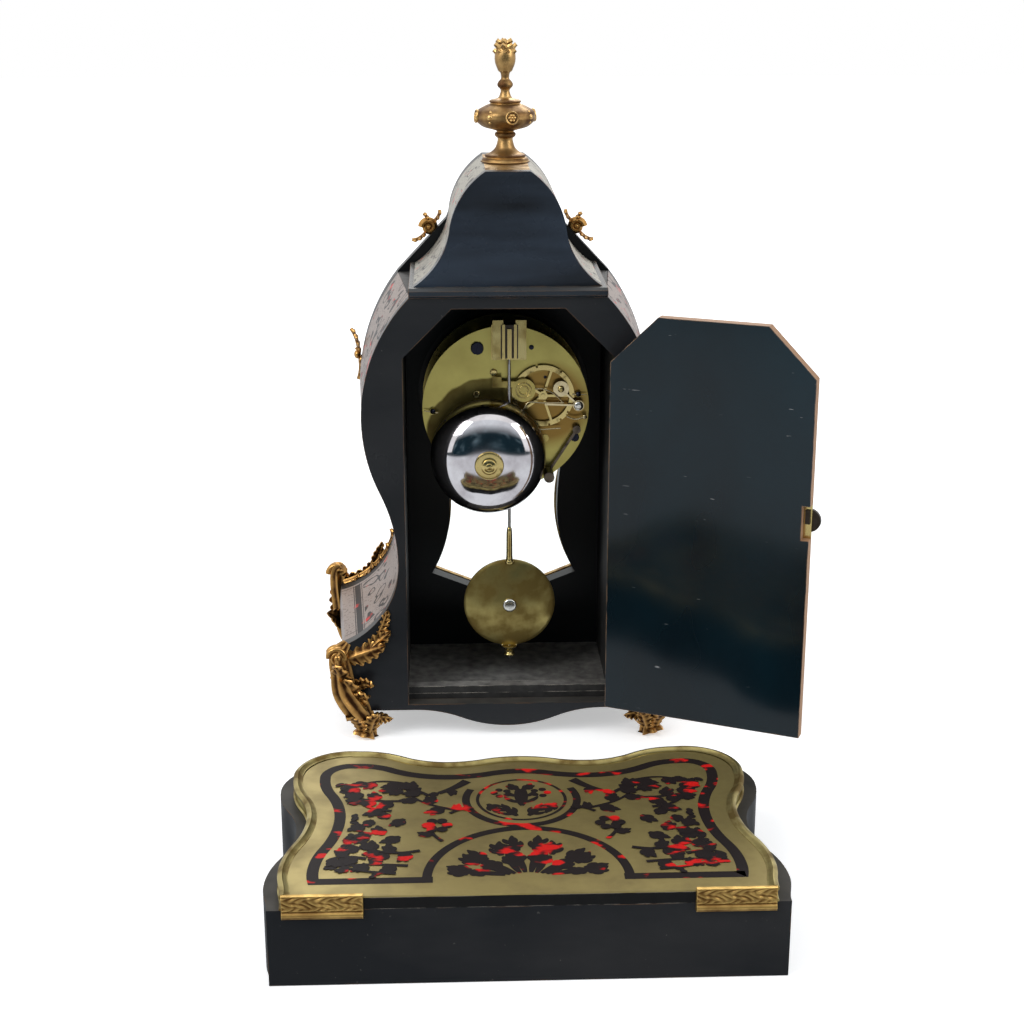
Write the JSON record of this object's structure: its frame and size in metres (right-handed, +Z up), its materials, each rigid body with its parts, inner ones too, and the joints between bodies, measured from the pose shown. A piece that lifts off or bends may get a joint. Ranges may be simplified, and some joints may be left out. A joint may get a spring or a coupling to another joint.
{
  "type": "bracket clock",
  "caption": "Waisted spring-driven bracket clock with inlaid sides, gilt legs, bell strike, pendulum, glazed front door, open rear door and its separate shaped plinth.",
  "frame": {"origin": "on the floor under the middle of the clock case, in the plane of the four feet", "axes": "+Z up, the dial faces +Y, the rear door faces -Y, +X is to the right seen from behind"},
  "size_m": [0.327, 0.4246, 0.45],
  "materials": {
    "ebonised_wood": "ebonised and French polished, very dark blue-black",
    "inner_black": "matt black paint, dusty",
    "door_face": "gloss black with tan raw edges",
    "inlay": "engraved brass and tortoiseshell marquetry",
    "gilt_bronze": "antiqued gilt, brown in the hollows",
    "plate_brass": "lacquered clock brass",
    "steel": "bright steel",
    "blued_steel": "blued",
    "bell_metal": "polished nickel",
    "enamel": "white enamel with plain numerals",
    "clear_glass": "clear",
    "dark_metal": "darkened brass"
  },
  "bodies": {
    "case": {"rear_board": "ebonised_wood", "front_board": "ebonised_wood", "case_side_right": "inner_black", "case_side_left": "inner_black", "side_veneer_right": "inlay", "side_veneer_left": "inlay", "floor_board": "inner_black", "rear_sill": "inner_black", "roof_board": "inner_black", "cornice": "ebonised_wood", "hood_back": "ebonised_wood", "hood_side_right": "inlay", "hood_side_left": "inlay", "hood_cap": "gilt_bronze", "finial": "gilt_bronze", "leg_rear_right": "gilt_bronze", "leg_rear_left": "gilt_bronze", "leg_front_right": "gilt_bronze", "leg_front_left": "gilt_bronze", "arch_scrolls": "gilt_bronze", "hip_mounts": "gilt_bronze", "dial_plate": "gilt_bronze", "dial_cartouches": "enamel", "front_hinge_lugs": "plate_brass", "rear_hinge_leaves": "plate_brass", "movement_back_plate": "plate_brass", "movement_front_plate": "plate_brass", "movement_pillars": "plate_brass", "suspension_block": "plate_brass", "bell": "bell_metal", "bell_stand": "plate_brass", "plate_screws": "blued_steel", "count_cock": "plate_brass"},
    "front_door": {"front_door_frame": "gilt_bronze", "front_door_glass": "clear_glass"},
    "rear_door": {"rear_door_panel": "door_face", "latch_plate": "plate_brass", "rear_door_knuckles": "plate_brass"},
    "rear_latch": {"latch_knob": "dark_metal"},
    "pendulum": {"pendulum_rod": "steel", "pendulum_bob": "plate_brass", "rating_nut": "plate_brass"},
    "crutch": {"crutch": "steel", "pallets": "steel"},
    "escape_wheel": {"escape_wheel": "plate_brass"},
    "third_wheel": {"third_wheel": "plate_brass"},
    "centre_wheel": {"centre_arbor": "plate_brass"},
    "minute_hand": {"minute_hand": "blued_steel"},
    "hour_hand": {"hour_hand": "blued_steel"},
    "minute_wheel": {"minute_wheel": "plate_brass"},
    "going_barrel": {"going_barrel": "plate_brass"},
    "strike_barrel": {"strike_barrel": "plate_brass"},
    "count_wheel": {"count_wheel": "plate_brass"},
    "locking_lever": {"locking_lever": "steel"},
    "hammer": {"hammer": "steel"},
    "plinth": {"plinth_body": "ebonised_wood", "plinth_platform": "inner_black", "plinth_inlay_plate": "inlay", "plinth_rim": "gilt_bronze", "plinth_corner_strips": "gilt_bronze"}
  },
  "joints": [
    {"name": "rear_door_hinge", "type": "hinge", "parent": "case", "child": "rear_door", "pos_m": [0.0662, -0.0572, 0.1], "axis": [0, 0, 1], "range_deg": [-155.4, 4]},
    {"name": "rear_latch_turn", "type": "hinge", "parent": "rear_door", "child": "rear_latch", "pos_m": [0.18349, -0.1109, 0.167], "axis": [-0.4163, -0.9092, 0], "range_deg": [-90, 0]},
    {"name": "front_door_hinge", "type": "hinge", "parent": "case", "child": "front_door", "pos_m": [0.077, 0.059, 0.1], "axis": [0, 0, -1], "range_deg": [0, 110]},
    {"name": "pendulum_swing", "type": "hinge", "parent": "case", "child": "pendulum", "pos_m": [0.002, -0.014, 0.252], "axis": [0, 1, 0], "range_deg": [-5, 5]},
    {"name": "crutch_swing", "type": "hinge", "parent": "case", "child": "crutch", "pos_m": [0.002, -0.008, 0.252], "axis": [0, 1, 0], "range_deg": [-5, 5]},
    {"name": "escape_turn", "type": "hinge", "parent": "case", "child": "escape_wheel", "pos_m": [-0.008, 0, 0.237], "axis": [0, -1, 0], "continuous": true},
    {"name": "third_turn", "type": "hinge", "parent": "case", "child": "third_wheel", "pos_m": [-0.0194, 0, 0.2223], "axis": [0, -1, 0], "continuous": true},
    {"name": "centre_turn", "type": "hinge", "parent": "case", "child": "centre_wheel", "pos_m": [0, 0, 0.213], "axis": [0, -1, 0], "continuous": true},
    {"name": "minute_turn", "type": "hinge", "parent": "case", "child": "minute_hand", "pos_m": [0, 0.05, 0.213], "axis": [0, -1, 0], "continuous": true},
    {"name": "hour_turn", "type": "hinge", "parent": "case", "child": "hour_hand", "pos_m": [0, 0.05, 0.213], "axis": [0, -1, 0], "continuous": true},
    {"name": "minute_wheel_turn", "type": "hinge", "parent": "case", "child": "minute_wheel", "pos_m": [0.0151, 0.04, 0.213], "axis": [0, -1, 0], "continuous": true},
    {"name": "going_winding", "type": "hinge", "parent": "case", "child": "going_barrel", "pos_m": [-0.026, 0, 0.192], "axis": [0, -1, 0], "continuous": true},
    {"name": "strike_winding", "type": "hinge", "parent": "case", "child": "strike_barrel", "pos_m": [0.026, 0, 0.192], "axis": [0, -1, 0], "continuous": true},
    {"name": "count_turn", "type": "hinge", "parent": "case", "child": "count_wheel", "pos_m": [0.0245, -0.007, 0.2215], "axis": [0, 1, 0], "continuous": true},
    {"name": "lever_lift", "type": "hinge", "parent": "case", "child": "locking_lever", "pos_m": [0.0478, -0.009, 0.2153], "axis": [0, 1, 0], "range_deg": [0, 6]},
    {"name": "hammer_swing", "type": "hinge", "parent": "case", "child": "hammer", "pos_m": [0.0468, -0.009, 0.1987], "axis": [0, -1, 0], "range_deg": [0, 12]},
    {"name": "plinth_lift", "type": "slide", "parent": "case", "child": "plinth", "axis": [0, 0, 1], "range_m": [0, 0.2]}
  ],
  "couplings": [
    {"joint": "crutch_swing", "follows": "pendulum_swing", "ratio": 1},
    {"joint": "third_turn", "follows": "escape_turn", "ratio": -0.083333},
    {"joint": "centre_turn", "follows": "escape_turn", "ratio": 0.0069444},
    {"joint": "hour_turn", "follows": "minute_turn", "ratio": 0.083333},
    {"joint": "minute_wheel_turn", "follows": "minute_turn", "ratio": -0.33333}
  ]
}
